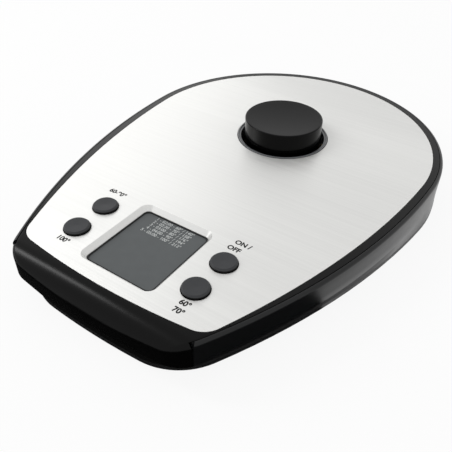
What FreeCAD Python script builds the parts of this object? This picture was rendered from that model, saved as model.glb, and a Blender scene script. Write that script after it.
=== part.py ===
"""Power base of a cordless electric kettle, with a display, four push buttons and a round connector tower.

Millimetres, +Z up. The base stands on z = 0 and is centred in x and y, the buttons are at the front (-Y).
Plan sizes are measured from the axis of the connector tower, which lies behind the middle of the base.
"""
import FreeCAD, Part
import math
import os
import Sketcher
from types import SimpleNamespace

Vector = FreeCAD.Vector

DRIVING_SIZES = {
    # Stance: feet below the floor, then the housing up to the face of the steel plate.
    "foot_proud": 1.6,
    "housing_height": 20.0,
    # Outer shell in plan, upright part: round rear, bowed sides, round corners, bowed nose.
    "rear_radius": 78.0,
    "rear_lean": 0.4,
    "side_radius": 280.0,
    "corner_radius": 15.0,
    "nose_radius": 380.0,
    "nose_reach": 138.0,
    "corner_half": 31.5,
    "upright_height": 10.5,
    # The same outline at the floor, where nose and corners are drawn in and the rear is widest.
    "low_side_radius": 310.0,
    "low_nose_radius": 330.0,
    "low_nose_inset": 2.6,
    "low_corner_growth": 12.0,
    "low_corner_shift": 11.5,
    # Side band, nose and the clearances between mouldings.
    "band_thickness": 1.5,
    "band_roll": 1.3,
    "band_end_inset": 7.0,
    "band_end_round": 1.5,
    "nose_depth": 20.0,
    "nose_roll": 10.0,
    "nose_roll_ahead": 0.7,
    "nose_edge": 2.6,
    "moulding_gap": 0.3,
    # Steel plate and the chassis that carries it.
    "plate_rear_inset": 4.8,
    "plate_side_radius": 336.0,
    "plate_front_radius": 306.0,
    "plate_front_inset": 9.3,
    "plate_corner_shift": 5.8,
    "plate_thickness": 0.8,
    "plate_gap": 0.25,
    "chassis_thickness": 2.0,
    # Lower housing: a floor with a wall inside the band.
    "floor_thickness": 2.0,
    "tray_wall": 2.0,
    "tray_front_inset": 1.5,
    "tray_corner_shift": 7.3,
    "tray_corner_growth": 4.3,
    # Display: a pressed recess in the plate, a gasket, a glass window, the panel and its light.
    "display_width": 35.7,
    "display_length": 39.6,
    "display_set_back": 35.6,
    "display_corner": 4.0,
    "recess_depth": 2.2,
    "recess_slope": 1.8,
    "gasket_thickness": 0.4,
    "gasket_show": 0.5,
    "gasket_corner": 2.2,
    "panel_corner": 1.0,
    "lens_overlap": 1.2,
    "lens_thickness": 1.5,
    "panel_thickness": 2.8,
    "light_thickness": 3.0,
    # Control board under the display and the buttons.
    "control_edge": 7.3,
    "control_corner": 4.0,
    "control_margin": 0.3,
    "control_post_inset": 3.0,
    "control_post_radius": 2.4,
    "board_thickness": 1.6,
    "board_corner": 2.0,
    # Push buttons.
    "rear_button_out": 11.85,
    "rear_button_back": 7.7,
    "front_button_out": 11.25,
    "front_button_ahead": 8.6,
    "button_radius": 5.2,
    "button_chamfer": 0.6,
    "button_proud": 1.5,
    "button_dish": 0.25,
    "button_flange": 1.1,
    "button_flange_thickness": 1.2,
    "button_stem_radius": 2.0,
    "button_gap": 0.3,
    "button_stop_gap": 0.1,
    "dome_height": 2.8,
    "dome_base_radius": 4.4,
    "dome_base_thickness": 0.7,
    "dome_wall": 0.6,
    "dome_rest_gap": 0.05,
    # Connector tower, collar and contacts.
    "tower_radius": 19.0,
    "tower_height": 10.0,
    "tower_wall": 2.2,
    "tower_edge": 0.5,
    "dish_rim": 0.8,
    "dish_depth": 0.9,
    "connector_drop": 12.6,
    "connector_flange_reach": 5.6,
    "connector_flange_thickness": 2.0,
    "collar_gap": 1.8,
    "collar_wall": 1.6,
    "collar_lip": 0.7,
    "collar_step": 0.6,
    "collar_proud": 0.5,
    "collar_edge": 0.25,
    "contact_play": 0.2,
    "contact_thickness": 0.4,
    "contact_height": 5.5,
    "contact_angle": 70.0,
    "contact_tab_width": 4.0,
    "contact_tab_drop": 4.0,
    # Power board and what stands on it.
    "power_width": 88.0,
    "power_length": 38.0,
    "power_ahead": 52.0,
    "power_standoff": 2.4,
    "power_screw_inset": 4.0,
    "post_radius": 3.2,
    "terminal_share": -0.432,
    "terminal_width": 8.0,
    "terminal_length": 16.0,
    "terminal_height": 9.5,
    "relay_share": -0.284,
    "relay_width": 12.5,
    "relay_length": 20.0,
    "relay_height": 10.4,
    "transformer_share": -0.08,
    "transformer_width": 15.0,
    "transformer_length": 16.0,
    "transformer_height": 10.5,
    "film_share": 0.102,
    "film_width": 7.5,
    "film_length": 18.0,
    "film_height": 10.0,
    "can_share": 0.227,
    "can_radius": 4.0,
    "can_height": 10.4,
    "buzzer_share": 0.364,
    "buzzer_radius": 6.0,
    "buzzer_height": 6.5,
    # Screws: the same thread everywhere, with its pilot and through holes.
    "screw_radius": 1.4,
    "screw_head_radius": 2.7,
    "screw_head_height": 1.8,
    "pilot_gap": 0.05,
    "through_gap": 0.3,
    "boss_radius": 4.8,
    "boss_top": 9.0,
    "boss_web": 2.0,
    "housing_screw_bite": 7.5,
    "board_screw_bite": 3.6,
    "connector_screw_bite": 4.5,
    "front_screw_out": 11.5,
    "front_screw_inset": 40.0,
    "side_screw_x_share": 0.77,
    "side_screw_y_share": 0.29,
    "rear_screw_x_share": 0.64,
    "rear_screw_y_share": 0.46,
    # Feet.
    "foot_radius": 6.0,
    "foot_seat": 1.0,
    "foot_edge": 0.5,
    "rear_foot_x_share": 0.51,
    "rear_foot_y_share": 0.69,
    "front_foot_out": 0.5,
    "front_foot_inset": 24.0,
    # Cord gland in the rear wall.
    "gland_bore": 3.5,
    "gland_radius": 5.2,
    "gland_flange_radius": 7.2,
    "gland_flange_thickness": 2.0,
    "gland_flange_gap": 0.6,
    "gland_height": 11.5,
    "gland_set_back": 0.5,
}


class Size:
    """A sheet value, or a sum or product of sheet values, as an expression and as a number."""

    def __init__(self, text, value):
        self.text = text
        self.value = value

    def joined(self, sign, other, value):
        return Size("(" + self.text + " " + sign + " " + as_size(other).text + ")", value)

    def __add__(self, other):
        return self.joined("+", other, self.value + as_size(other).value)

    def __sub__(self, other):
        return self.joined("-", other, self.value - as_size(other).value)

    def __mul__(self, other):
        return self.joined("*", other, self.value * as_size(other).value)

    def __truediv__(self, other):
        return self.joined("/", other, self.value / as_size(other).value)

    def __neg__(self):
        return Size("(0 - " + self.text + ")", -self.value)


def as_size(number):
    """A plain number as a Size."""
    if isinstance(number, Size):
        return number
    return Size(repr(float(number)), float(number))


doc = FreeCAD.newDocument("kettle_power_base")
sheet = doc.addObject("Spreadsheet::Sheet", "dims")
d = SimpleNamespace()
for row, (alias, value) in enumerate(DRIVING_SIZES.items(), start=1):
    sheet.set("A" + str(row), alias)
    sheet.set("B" + str(row), str(value))
    sheet.setAlias("B" + str(row), alias)
    setattr(d, alias, Size("dims." + alias, value))
doc.recompute()

# Levels and places worked out from the driving sizes.
zero = as_size(0)
shift = (d.nose_reach - d.rear_radius) / 2
plate_top = d.foot_proud + d.housing_height
plate_under = plate_top - d.plate_thickness
chassis_under = plate_under - d.chassis_thickness
floor_top = d.foot_proud + d.floor_thickness
belly_level = plate_top - d.upright_height
recess_level = plate_top - d.recess_depth
gasket_under = recess_level - d.gasket_thickness
lens_under = gasket_under - d.lens_thickness
panel_under = lens_under - d.panel_thickness
control_top = panel_under - d.light_thickness
control_under = control_top - d.board_thickness
connector_base = plate_top - d.connector_drop
collar_seat = connector_base + d.connector_flange_thickness
collar_flange_top = collar_seat + d.connector_flange_thickness
power_under = floor_top + d.power_standoff
power_top = power_under + d.board_thickness
pilot_radius = d.screw_radius + d.pilot_gap
through_radius = d.screw_radius + d.through_gap
collar_inner = d.tower_radius + d.collar_gap
collar_outer = collar_inner + d.collar_wall
connector_flange = collar_outer + d.connector_flange_reach
connector_screw_ring = (collar_outer + d.plate_gap + connector_flange) / 2
contact_inner = collar_inner - d.contact_play - d.contact_thickness
display_y = d.display_set_back - d.nose_reach
band_front = d.band_end_inset - d.nose_reach
nose_rear = d.nose_depth - d.nose_reach
power_y = -d.power_ahead

parts = []


def bind(thing, path, size):
    """Ties one property of a document object to the sheet."""
    thing.setExpression(path, as_size(size).text)


def new_body(label, x=zero, y=zero, z=zero, hidden=False):
    """A body whose own origin stands at x, y from the connector axis and z above the table."""
    body = doc.addObject("PartDesign::Body", label)
    body.Label = label
    bind(body, "Placement.Base.x", x)
    bind(body, "Placement.Base.y", shift + y)
    bind(body, "Placement.Base.z", z)
    if not hidden:
        parts.append(body)
    return body


def sketch_on(body, role, level=zero):
    """An empty sketch on one of the body's own origin planes, raised by level."""
    sketch = body.newObject("Sketcher::SketchObject", body.Name + "_sketch")
    plane = [feature for feature in body.Origin.OriginFeatures if feature.Role == role][0]
    sketch.AttachmentSupport = [(plane, "")]
    sketch.MapMode = "FlatFace"
    bind(sketch, "AttachmentOffset.Base.z", level)
    return sketch


def limit(sketch, kind, *rest):
    """Adds one constraint, the last value being a Size where the kind takes a length."""
    if isinstance(rest[-1], Size):
        index = sketch.addConstraint(Sketcher.Constraint(kind, *rest[:-1], rest[-1].value))
        bind(sketch, "Constraints[" + str(index) + "]", rest[-1])
    else:
        sketch.addConstraint(Sketcher.Constraint(kind, *rest))


def locate(sketch, shape, point, x, y):
    """Places one point of a sketch line or arc at x, y."""
    limit(sketch, "DistanceX", -1, 1, shape, point, as_size(x))
    limit(sketch, "DistanceY", -1, 1, shape, point, as_size(y))


def circle(sketch, radius, x=zero, y=zero):
    centre = Vector(x.value, y.value, 0)
    ring = sketch.addGeometry(Part.Circle(centre, Vector(0, 0, 1), radius.value))
    limit(sketch, "Radius", ring, radius)
    locate(sketch, ring, 3, x, y)


def polygon(sketch, corners):
    """A closed run of lines through corners given as pairs of sizes."""
    points = [Vector(as_size(x).value, as_size(y).value, 0) for x, y in corners]
    lines = []
    for start, end in zip(points, points[1:] + points[:1]):
        lines.append(sketch.addGeometry(Part.LineSegment(start, end)))
    for line, following in zip(lines, lines[1:] + lines[:1]):
        limit(sketch, "Coincident", line, 2, following, 1)
    for line, (x, y) in zip(lines, corners):
        locate(sketch, line, 1, x, y)


def rounded_rectangle(sketch, width, length, corner, x=zero, y=zero):
    """A rectangle centred on x, y with four equal round corners."""
    left, right = x - width / 2, x + width / 2
    front, rear = y - length / 2, y + length / 2
    r = corner.value
    x0, x1, y0, y1 = left.value, right.value, front.value, rear.value
    sides = [
        ((x0 + r, y0), (x1 - r, y0)),
        ((x1, y0 + r), (x1, y1 - r)),
        ((x1 - r, y1), (x0 + r, y1)),
        ((x0, y1 - r), (x0, y0 + r)),
    ]
    centres = [(x1 - r, y0 + r), (x1 - r, y1 - r), (x0 + r, y1 - r), (x0 + r, y0 + r)]
    loop = []
    for turn, (side, centre) in enumerate(zip(sides, centres)):
        start, end = Vector(*side[0], 0), Vector(*side[1], 0)
        loop.append(sketch.addGeometry(Part.LineSegment(start, end)))
        round_corner = Part.Circle(Vector(*centre, 0), Vector(0, 0, 1), r)
        first = (turn - 1) * math.pi / 2
        loop.append(sketch.addGeometry(Part.ArcOfCircle(round_corner, first, first + math.pi / 2)))
    for shape, following in zip(loop, loop[1:] + loop[:1]):
        limit(sketch, "Tangent", shape, 2, following, 1)
    for line, direction in zip(loop[0::2], ("Horizontal", "Vertical") * 2):
        limit(sketch, direction, line)
    for arc in loop[3::2]:
        limit(sketch, "Equal", loop[1], arc)
    limit(sketch, "Radius", loop[1], corner)
    limit(sketch, "DistanceY", -1, 1, loop[0], 1, front)
    limit(sketch, "DistanceX", -1, 1, loop[2], 1, right)
    limit(sketch, "DistanceY", -1, 1, loop[4], 1, rear)
    limit(sketch, "DistanceX", -1, 1, loop[6], 1, left)


def plan(rear, side, corner, front, reach, half):
    """The six sizes of a plan outline: four radii, the reach to the front and the corner centres."""
    return SimpleNamespace(rear=rear, side=side, corner=corner, front=front, reach=reach, half=half)


def inset(outline, gap):
    """The parallel outline that lies inside another by gap."""
    return plan(outline.rear - gap, outline.side - gap, outline.corner - gap,
                outline.front - gap, outline.reach - gap, outline.half)


def plan_sketch(body, outline, level):
    """A sketch of six tangent arcs: rear, side, corner, front, corner, side."""
    sketch = sketch_on(body, "XY_Plane", level)
    rear, side, corner = outline.rear.value, outline.side.value, outline.corner.value
    front, half = outline.front.value, outline.half.value
    front_centre = Vector(0, front - outline.reach.value, 0)
    drop = math.sqrt((front - corner) ** 2 - half ** 2)
    corner_centre = Vector(half, front_centre.y - drop, 0)
    # The side arc's centre lies side - rear from the axis and side - corner from the corner's centre.
    span = corner_centre.Length
    along = ((side - rear) ** 2 - (side - corner) ** 2 + span ** 2) / (2 * span)
    across = math.sqrt((side - rear) ** 2 - along ** 2)
    forward = corner_centre / span
    side_centre = forward * along + Vector(forward.y, -forward.x, 0) * across
    rear_turn = math.atan2(-side_centre.y, -side_centre.x)
    to_corner = corner_centre - side_centre
    side_turn = math.atan2(to_corner.y, to_corner.x)
    to_front = corner_centre - front_centre
    front_turn = math.atan2(to_front.y, to_front.x)

    def arc(centre, radius, first, last):
        return sketch.addGeometry(Part.ArcOfCircle(Part.Circle(centre, Vector(0, 0, 1), radius), first, last))

    def mirrored(centre):
        return Vector(-centre.x, centre.y, 0)

    half_turn = math.pi
    loop = [
        arc(Vector(0, 0, 0), rear, rear_turn, half_turn - rear_turn),
        arc(mirrored(side_centre), side, half_turn - rear_turn, half_turn - side_turn),
        arc(mirrored(corner_centre), corner, half_turn - side_turn, half_turn - front_turn),
        arc(front_centre, front, -half_turn - front_turn, front_turn),
        arc(corner_centre, corner, front_turn, side_turn),
        arc(side_centre, side, side_turn, rear_turn),
    ]
    for shape, following in zip(loop, loop[1:] + loop[:1]):
        limit(sketch, "Tangent", shape, 2, following, 1)
    limit(sketch, "Coincident", loop[0], 3, -1, 1)
    limit(sketch, "PointOnObject", loop[3], 3, -2)
    limit(sketch, "Equal", loop[1], loop[5])
    limit(sketch, "Equal", loop[2], loop[4])
    for shape, radius in zip((loop[0], loop[5], loop[4], loop[3]),
                             (outline.rear, outline.side, outline.corner, outline.front)):
        limit(sketch, "Radius", shape, radius)
    limit(sketch, "DistanceY", -1, 1, loop[3], 3, outline.front - outline.reach)
    limit(sketch, "DistanceX", -1, 1, loop[4], 3, outline.half)
    limit(sketch, "DistanceX", loop[2], 3, -1, 1, outline.half)
    return sketch


def pad(body, sketch, length):
    feature = body.newObject("PartDesign::Pad", "pad")
    feature.Profile = sketch
    bind(feature, "Length", length)
    return feature


def pocket(body, sketch, depth=None, upward=False):
    """A cut below the sketch, or above it, to a depth or right through."""
    feature = body.newObject("PartDesign::Pocket", "pocket")
    feature.Profile = sketch
    feature.Reversed = upward
    if depth is None:
        feature.Type = "ThroughAll"
    else:
        bind(feature, "Length", depth)
    return feature


def loft(body, kind, lower, upper):
    feature = body.newObject("PartDesign::" + kind, "loft")
    feature.Profile = lower
    feature.Sections = [upper]
    feature.Ruled = True
    return feature


def turned(body, corners, degrees=None):
    """A profile in the XZ plane turned about the body's own Z axis."""
    sketch = sketch_on(body, "XZ_Plane")
    polygon(sketch, corners)
    feature = body.newObject("PartDesign::Revolution", "turned")
    feature.Profile = sketch
    feature.ReferenceAxis = (sketch, ["V_Axis"])
    if degrees is None:
        feature.Angle = 360
    else:
        feature.Midplane = True
        bind(feature, "Angle", degrees)
    return feature


def hollow_top(body, radius, depth, level):
    """A shallow round hollow, sunk by depth on the axis of a turned piece."""
    sketch = sketch_on(body, "XZ_Plane")
    sphere = (radius * radius + depth * depth) / (depth * 2)
    bottom = level - depth
    centre = Vector(0, (bottom + sphere).value, 0)
    end = math.atan2((depth - sphere).value, radius.value)
    arc = sketch.addGeometry(Part.ArcOfCircle(Part.Circle(centre, Vector(0, 0, 1), sphere.value),
                                              -math.pi / 2, end))
    corners = [Vector(radius.value, level.value, 0), Vector(0, level.value, 0), Vector(0, bottom.value, 0)]
    lines = [sketch.addGeometry(Part.LineSegment(a, b)) for a, b in zip(corners, corners[1:])]
    limit(sketch, "Coincident", arc, 2, lines[0], 1)
    limit(sketch, "Coincident", lines[0], 2, lines[1], 1)
    limit(sketch, "Coincident", lines[1], 2, arc, 1)
    limit(sketch, "Radius", arc, sphere)
    locate(sketch, lines[0], 1, radius, level)
    locate(sketch, lines[1], 1, zero, level)
    locate(sketch, arc, 1, zero, bottom)
    feature = body.newObject("PartDesign::Groove", "hollow")
    feature.Profile = sketch
    feature.ReferenceAxis = (sketch, ["V_Axis"])
    feature.Angle = 360


def edges_where(feature, test):
    """Names of the feature's edges that pass a test."""
    doc.recompute()
    return ["Edge" + str(n) for n, edge in enumerate(feature.Shape.Edges, start=1) if test(edge)]


def rounded(body, feature, radius, test):
    edges = edges_where(feature, test)
    fillet = body.newObject("PartDesign::Fillet", "fillet")
    fillet.Base = (feature, edges)
    bind(fillet, "Radius", radius)
    return fillet


def lies_at(level):
    """A test for edges that lie flat at one level."""
    def test(edge):
        box = edge.BoundBox
        return abs(box.ZMin - level.value) < 1e-4 and abs(box.ZMax - level.value) < 1e-4
    return test


def holes(body, level, radius, places, depth=None, upward=False):
    """Round cuts at places, from a level down or up."""
    sketch = sketch_on(body, "XY_Plane", level)
    for x, y in places:
        circle(sketch, radius, x, y)
    return pocket(body, sketch, depth, upward)


def pillars(body, level, radius, places, height):
    """Round posts at places, standing on a level."""
    sketch = sketch_on(body, "XY_Plane", level)
    for x, y in places:
        circle(sketch, radius, x, y)
    return pad(body, sketch, height)


def block(label, width, length, height, corner, x, y, z):
    """A rectangular piece with round upright corners, standing on z."""
    body = new_body(label, x, y, z)
    sketch = sketch_on(body, "XY_Plane")
    rounded_rectangle(sketch, width, length, corner)
    pad(body, sketch, height)
    return body


def both_sides(x, y):
    return [(-x, y), (x, y)]


# Plan outlines that the mouldings share.
shell = plan(d.rear_radius - d.rear_lean, d.side_radius, d.corner_radius, d.nose_radius,
             d.nose_reach, d.corner_half)
low_shell = plan(d.rear_radius, d.low_side_radius, d.corner_radius + d.low_corner_growth, d.low_nose_radius,
                 d.nose_reach - d.low_nose_inset, d.corner_half - d.low_corner_shift)
plate = plan(shell.rear - d.plate_rear_inset, d.plate_side_radius, d.corner_radius - d.plate_corner_shift,
             d.plate_front_radius, d.nose_reach - d.plate_front_inset, d.corner_half + d.plate_corner_shift)
band_inside = d.band_thickness + d.moulding_gap
tray = plan(shell.rear - band_inside, low_shell.side - band_inside, plate.corner + d.tray_corner_growth,
            low_shell.front - band_inside, plate.reach - d.tray_front_inset, plate.half - d.tray_corner_shift)

# The inner face of the rear wall, less the room for the gland's flange.
gland_inside = tray.rear - d.tray_wall - d.gland_flange_gap

# The window's seat under the recess, and the control board that carries the display and the buttons.
recess_shrink = d.recess_slope * 2
seat_width = d.display_width - recess_shrink + d.lens_overlap * 2
seat_length = d.display_length - recess_shrink + d.lens_overlap * 2
rear_button_x = d.display_width / 2 + d.rear_button_out
front_button_x = d.display_width / 2 + d.front_button_out
control_width = (rear_button_x + d.control_edge) * 2
control_length = seat_length + d.control_margin * 2
control_post_x = control_width / 2 - d.control_post_inset
control_post_y = control_length / 2 - d.control_post_inset

# Places that two or more pieces share.
front_screw_place = both_sides(d.corner_half + d.front_screw_out, d.front_screw_inset - d.nose_reach)
side_screw_place = both_sides(d.rear_radius * d.side_screw_x_share, -d.nose_reach * d.side_screw_y_share)
rear_screw_place = both_sides(d.rear_radius * d.rear_screw_x_share, d.rear_radius * d.rear_screw_y_share)
housing_screw_places = front_screw_place + side_screw_place + rear_screw_place
control_screw_places = (both_sides(control_post_x, display_y + control_post_y)
                        + both_sides(control_post_x, display_y - control_post_y))
power_screw_x = d.power_width / 2 - d.power_screw_inset
power_screw_reach = d.power_length / 2 - d.power_screw_inset
power_screw_places = (both_sides(power_screw_x, power_y + power_screw_reach)
                      + both_sides(power_screw_x, power_y - power_screw_reach))
third_of_turn = 360 / 3
rear_bearing = 90
connector_screw_places = []
for third in range(3):
    bearing = math.radians(rear_bearing + third_of_turn * third)
    connector_screw_places.append((connector_screw_ring * math.cos(bearing),
                                   connector_screw_ring * math.sin(bearing)))


def four_places(rear_x, rear_y, front_x, front_y):
    """Two mirrored pairs of places, by name."""
    return {
        "rear_left": (-rear_x, rear_y),
        "rear_right": (rear_x, rear_y),
        "front_left": (-front_x, front_y),
        "front_right": (front_x, front_y),
    }


button_places = four_places(rear_button_x, display_y + d.rear_button_back,
                            front_button_x, display_y - d.front_button_ahead)
foot_places = four_places(d.rear_radius * d.rear_foot_x_share, d.rear_radius * d.rear_foot_y_share,
                          d.corner_half + d.front_foot_out, d.front_foot_inset - d.nose_reach)


def shell_solid(body, lower, upper, foot_level):
    """Drawn-in lower part and upright upper part of the shell, as one solid."""
    loft(body, "AdditiveLoft", plan_sketch(body, lower, foot_level), plan_sketch(body, upper, belly_level))
    return pad(body, plan_sketch(body, upper, belly_level), d.upright_height)


def rectangle(half_width, front, rear):
    """Corners of a rectangle that is centred in x."""
    return [(-half_width, front), (half_width, front), (half_width, rear), (-half_width, rear)]


def front_cut(body, front, turn, gap=zero):
    """Cuts a moulding off at the front, its upper corner rounded in side view, with a gap left outside."""
    sketch = sketch_on(body, "YZ_Plane")
    end = front - gap
    radius = turn + gap
    centre_y = front + turn
    centre_z = plate_top - turn
    above = plate_top + d.upright_height
    ahead = -d.nose_reach - d.upright_height
    round_end = Part.Circle(Vector(centre_y.value, centre_z.value, 0), Vector(0, 0, 1), radius.value)
    arc = sketch.addGeometry(Part.ArcOfCircle(round_end, math.pi / 2, math.pi))
    locate(sketch, arc, 3, centre_y, centre_z)
    limit(sketch, "Radius", arc, radius)
    limit(sketch, "DistanceX", -1, 1, arc, 1, centre_y)
    limit(sketch, "DistanceY", -1, 1, arc, 2, centre_z)
    corners = [(centre_y, plate_top + gap), (centre_y, above), (ahead, above), (ahead, zero), (end, zero),
               (end, centre_z)]
    points = [Vector(y.value, z.value, 0) for y, z in corners]
    lines = [sketch.addGeometry(Part.LineSegment(a, b)) for a, b in zip(points, points[1:])]
    limit(sketch, "Coincident", arc, 1, lines[0], 1)
    limit(sketch, "Coincident", lines[-1], 2, arc, 2)
    for line, following in zip(lines, lines[1:]):
        limit(sketch, "Coincident", line, 2, following, 1)
    for line, (y, z) in zip(lines[1:], corners[1:]):
        locate(sketch, line, 1, y, z)
    cut = pocket(body, sketch)
    cut.Midplane = True
    return cut


def rear_hole(body):
    """The way through the rear wall for the cord gland."""
    sketch = sketch_on(body, "XZ_Plane", -d.rear_radius)
    circle(sketch, d.gland_radius + d.moulding_gap, zero, d.gland_height)
    pocket(body, sketch, d.rear_radius - gland_inside, upward=True)


def display_sketch(body, growth, level):
    """The display opening in plan, grown or shrunk in width and length."""
    sketch = sketch_on(body, "XY_Plane", level)
    rounded_rectangle(sketch, d.display_width + growth, d.display_length + growth,
                      d.display_corner + growth / 2, zero, display_y)
    return sketch


def rim_edge(radius, level):
    """A test for the round edge of one radius at one level."""
    def test(edge):
        return lies_at(level)(edge) and abs(edge.Curve.Radius - radius.value) < 1e-4
    return test


def screw_group(label, places, seat, length, upward):
    """Screws with round heads that bear on a level, all in one node."""
    body = new_body(label)
    head_foot = seat
    shank_foot = seat - length
    if upward:
        head_foot = seat - d.screw_head_height
        shank_foot = seat
    pillars(body, head_foot, d.screw_head_radius, places, d.screw_head_height)
    pillars(body, shank_foot, d.screw_radius, places, length)


# Lower housing: the floor, the wall that stands inside the band, screw bosses and board posts.
lower_housing = new_body("lower_housing")
pad(lower_housing, plan_sketch(lower_housing, low_shell, d.foot_proud), d.floor_thickness)
pad(lower_housing, plan_sketch(lower_housing, tray, floor_top), chassis_under - floor_top)
pocket(lower_housing, plan_sketch(lower_housing, inset(tray, d.tray_wall), chassis_under),
       chassis_under - floor_top)
pillars(lower_housing, floor_top, d.boss_radius, housing_screw_places, d.boss_top - floor_top)
pillars(lower_housing, floor_top, d.post_radius, power_screw_places, d.power_standoff)
holes(lower_housing, d.foot_proud, d.screw_head_radius + d.through_gap, housing_screw_places,
      d.boss_top - d.boss_web - d.foot_proud, upward=True)
holes(lower_housing, d.boss_top, through_radius, housing_screw_places, d.boss_web + d.moulding_gap)
holes(lower_housing, power_under, pilot_radius, power_screw_places, d.board_screw_bite)
holes(lower_housing, d.foot_proud, d.foot_radius + d.moulding_gap, foot_places.values(),
      d.foot_seat, upward=True)
rear_hole(lower_housing)

# Side band: a thin wall round the rear and both sides, its front ends rounded off.
side_band = new_body("side_band")
band_wall = shell_solid(side_band, low_shell, shell, floor_top)
rounded(side_band, band_wall, d.band_roll, lies_at(plate_top))
loft(side_band, "SubtractiveLoft", plan_sketch(side_band, inset(low_shell, d.band_thickness), floor_top),
     plan_sketch(side_band, inset(shell, d.band_thickness), belly_level))
pocket(side_band, plan_sketch(side_band, inset(shell, d.band_thickness), plate_top), d.upright_height)
front_cut(side_band, band_front, d.band_end_round)
rear_hole(side_band)

# Nose: the front moulding, rolled over in side view, with one soft edge round the roll and its corners.
nose_form = new_body("nose_form", hidden=True)
shell_solid(nose_form, low_shell, shell, floor_top)
rolled = front_cut(nose_form, -d.nose_reach - d.nose_roll_ahead, d.nose_roll)


def borders_the_roll(edge):
    """A test for the edges round the top face and the roll, but not the line where the two meet."""
    box = edge.BoundBox
    return box.ZMin > belly_level.value + 1e-4 and box.YLength > 1e-4


rounded(nose_form, rolled, d.nose_edge, borders_the_roll)
pocket(nose_form, plan_sketch(nose_form, inset(plate, -d.plate_gap), plate_top))
behind_nose = sketch_on(nose_form, "XY_Plane", plate_top)
polygon(behind_nose, rectangle(d.rear_radius, nose_rear, d.rear_radius))
pocket(nose_form, behind_nose)
band_room = new_body("band_room", hidden=True)
shell_solid(band_room, inset(low_shell, -d.moulding_gap), inset(shell, -d.moulding_gap), floor_top)
loft(band_room, "SubtractiveLoft", plan_sketch(band_room, inset(low_shell, band_inside), floor_top),
     plan_sketch(band_room, inset(shell, band_inside), belly_level))
pocket(band_room, plan_sketch(band_room, inset(shell, band_inside), plate_top), d.upright_height)
front_cut(band_room, band_front, d.band_end_round, d.moulding_gap)
front_nose = doc.addObject("Part::Cut", "front_nose")
front_nose.Base = nose_form
front_nose.Tool = band_room
parts.append(front_nose)

# Chassis: the rim round the plate, the slab under it, the button and display openings, posts and bosses.
chassis = new_body("chassis")
pad(chassis, plan_sketch(chassis, inset(shell, band_inside), chassis_under), plate_top - chassis_under)
ahead_of_rim = sketch_on(chassis, "XY_Plane", plate_top)
polygon(ahead_of_rim, rectangle(d.rear_radius, -d.nose_reach, nose_rear + d.moulding_gap))
pocket(chassis, ahead_of_rim)
pad(chassis, plan_sketch(chassis, plate, chassis_under), d.chassis_thickness)
pocket(chassis, plan_sketch(chassis, inset(plate, -d.plate_gap), plate_top), d.plate_thickness)
pillars(chassis, d.boss_top, d.post_radius, housing_screw_places, chassis_under - d.boss_top)
pillars(chassis, control_top, d.control_post_radius, control_screw_places, chassis_under - control_top)
pillars(chassis, collar_flange_top, connector_flange, [(zero, zero)],
        chassis_under - collar_flange_top)
holes(chassis, plate_top, collar_outer + d.plate_gap, [(zero, zero)])
holes(chassis, plate_top, d.button_radius + d.button_gap, button_places.values())
holes(chassis, d.boss_top, pilot_radius, housing_screw_places, d.housing_screw_bite, upward=True)
holes(chassis, control_top, pilot_radius, control_screw_places, d.board_screw_bite, upward=True)
holes(chassis, collar_flange_top, pilot_radius, connector_screw_places, d.connector_screw_bite, upward=True)
display_window = sketch_on(chassis, "XY_Plane", plate_top)
window_room = (d.plate_thickness + d.moulding_gap) * 2
rounded_rectangle(display_window, d.display_width + window_room, d.display_length + window_room,
                  d.display_corner, zero, display_y)
pocket(chassis, display_window)

# Steel plate: a thin sheet with a sloped display recess, button holes and the hole for the collar.
top_plate = new_body("top_plate")
pad(top_plate, plan_sketch(top_plate, plate, plate_under), d.plate_thickness)
sheet_edge = d.plate_thickness * 2
loft(top_plate, "AdditiveLoft",
     display_sketch(top_plate, sheet_edge, plate_top),
     display_sketch(top_plate, sheet_edge - recess_shrink, recess_level))
loft(top_plate, "SubtractiveLoft",
     display_sketch(top_plate, zero, plate_top), display_sketch(top_plate, -recess_shrink, recess_level))
holes(top_plate, plate_top, collar_outer + d.plate_gap, [(zero, zero)])
holes(top_plate, plate_top, d.button_radius + d.button_gap, button_places.values())

# Display stack, from the gasket under the recess down to the light on the control board.
display_gasket = block("display_gasket", seat_width, seat_length, d.gasket_thickness, d.display_corner,
                       zero, display_y, gasket_under)
gasket_opening = sketch_on(display_gasket, "XY_Plane", d.gasket_thickness)
gasket_cover = (d.lens_overlap + d.gasket_show) * 2
rounded_rectangle(gasket_opening, seat_width - gasket_cover, seat_length - gasket_cover, d.gasket_corner)
pocket(display_gasket, gasket_opening)
block("display_lens", seat_width, seat_length, d.lens_thickness, d.display_corner,
      zero, display_y, lens_under)
block("display_panel", seat_width, seat_length, d.panel_thickness, d.panel_corner,
      zero, display_y, panel_under)
block("display_light", seat_width, seat_length, d.light_thickness, d.panel_corner,
      zero, display_y, control_top)

# Control board on the chassis posts.
control_board = block("control_board", control_width, control_length, d.board_thickness, d.control_corner,
                      zero, display_y, control_under)
board_holes = [(x, y - display_y) for x, y in control_screw_places]
holes(control_board, d.board_thickness, through_radius, board_holes)

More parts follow.
